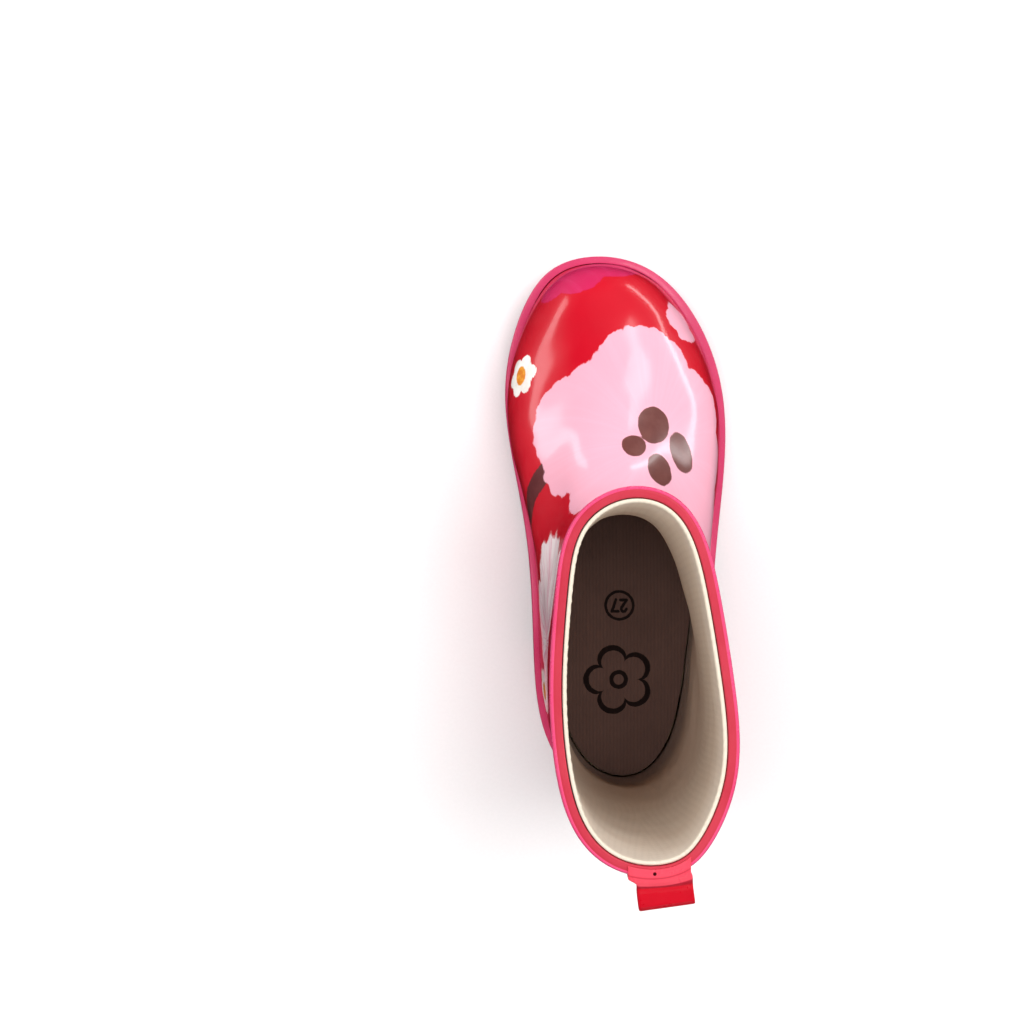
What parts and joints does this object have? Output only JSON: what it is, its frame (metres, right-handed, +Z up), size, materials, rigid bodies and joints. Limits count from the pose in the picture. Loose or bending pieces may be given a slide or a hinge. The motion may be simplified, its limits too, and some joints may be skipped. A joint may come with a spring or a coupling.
{
  "type": "rubber rain boot",
  "caption": "Child's pull-on rubber rain boot, right foot, with a printed upper, textile lining, loose footbed, lugged sole and a heel pull loop.",
  "frame": {"origin": "on the floor, under the middle of the bounding box", "axes": "+Z up, +Y towards the toe, +X towards the outer side of the right foot"},
  "size_m": [0.0784, 0.207, 0.1962],
  "materials": {
    "outsole_rubber": "satin moulded",
    "heel_rubber": "satin moulded",
    "foxing_rubber": "satin",
    "filler_felt": "felt",
    "fibre_board": "pressed fibre",
    "printed_rubber": "varnished, printed",
    "stiffener_sheet": "matte",
    "lining_textile": "brushed knit",
    "footbed_foam": "foam",
    "footbed_textile": "brushed knit",
    "binding_rubber": "satin",
    "strap_rubber": "satin",
    "loop_rubber": "satin",
    "seam_rubber": "varnished"
  },
  "bodies": {
    "boot": {"outsole": "outsole_rubber", "heel_block": "heel_rubber", "foxing_strip": "foxing_rubber", "midsole_filler": "filler_felt", "insole_board": "fibre_board", "upper_shell": "printed_rubber", "toe_puff": "stiffener_sheet", "heel_counter": "stiffener_sheet", "lining_sock": "lining_textile", "top_binding": "binding_rubber", "pull_strap_anchor": "strap_rubber", "back_seam_strip": "seam_rubber"},
    "footbed": {"footbed_foam": "footbed_foam", "footbed_cover": "footbed_textile"},
    "strap_loop": {"pull_loop": "loop_rubber"}
  },
  "joints": [
    {"name": "loop_fold", "type": "hinge", "parent": "boot", "child": "strap_loop", "pos_m": [0.00782, -0.09691, 0.1939], "axis": [-1, 0, 0], "range_deg": [-15, 60], "stiffness_Nm_per_rad": 0.01},
    {"name": "footbed_lift", "type": "hinge", "parent": "boot", "child": "footbed", "pos_m": [-0.0055, 0.09536, 0.0179], "axis": [-1, 0, 0], "range_deg": [0, 7]}
  ]
}
